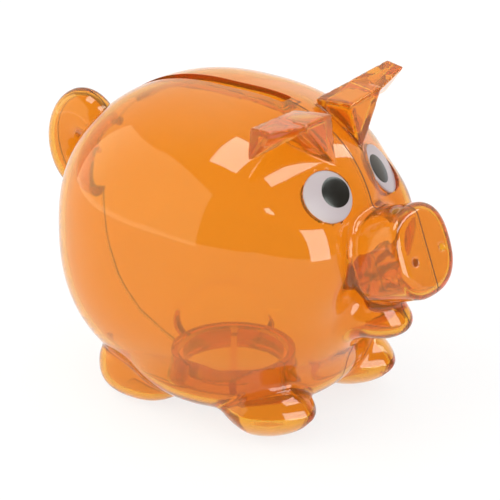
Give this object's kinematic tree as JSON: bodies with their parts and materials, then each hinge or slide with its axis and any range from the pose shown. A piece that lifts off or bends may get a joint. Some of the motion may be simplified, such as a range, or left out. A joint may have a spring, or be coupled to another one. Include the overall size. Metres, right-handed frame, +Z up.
{
  "type": "piggy bank",
  "caption": "Hollow see-through plastic pig money bank with a coin slot along its back, domed eyes, a curled tail and a pull-out stopper under the belly.",
  "frame": {"origin": "on the ground, at the centre of the bounding box's bottom", "axes": "+Z up, -Y towards the snout, +Y towards the tail, +X towards the pig's own left; the glued seam lies in the plane X = 0"},
  "size_m": [0.0906, 0.1428, 0.1017],
  "materials": {
    "shell_plastic": "translucent orange, glossy",
    "stopper_plastic": "translucent orange, glossy",
    "eye_white": "opaque off-white, glossy",
    "pupil_black": "opaque black, glossy"
  },
  "bodies": {
    "bank": {"shell_left": "shell_plastic", "shell_right": "shell_plastic", "eye_white_left": "eye_white", "eye_white_right": "eye_white", "pupil_left": "pupil_black", "pupil_right": "pupil_black"},
    "stopper": {"belly_stopper": "stopper_plastic"}
  },
  "joints": [
    {"name": "stopper_pull", "type": "slide", "parent": "bank", "child": "stopper", "axis": [0, 0, -1], "range_m": [0, 0.03]}
  ]
}
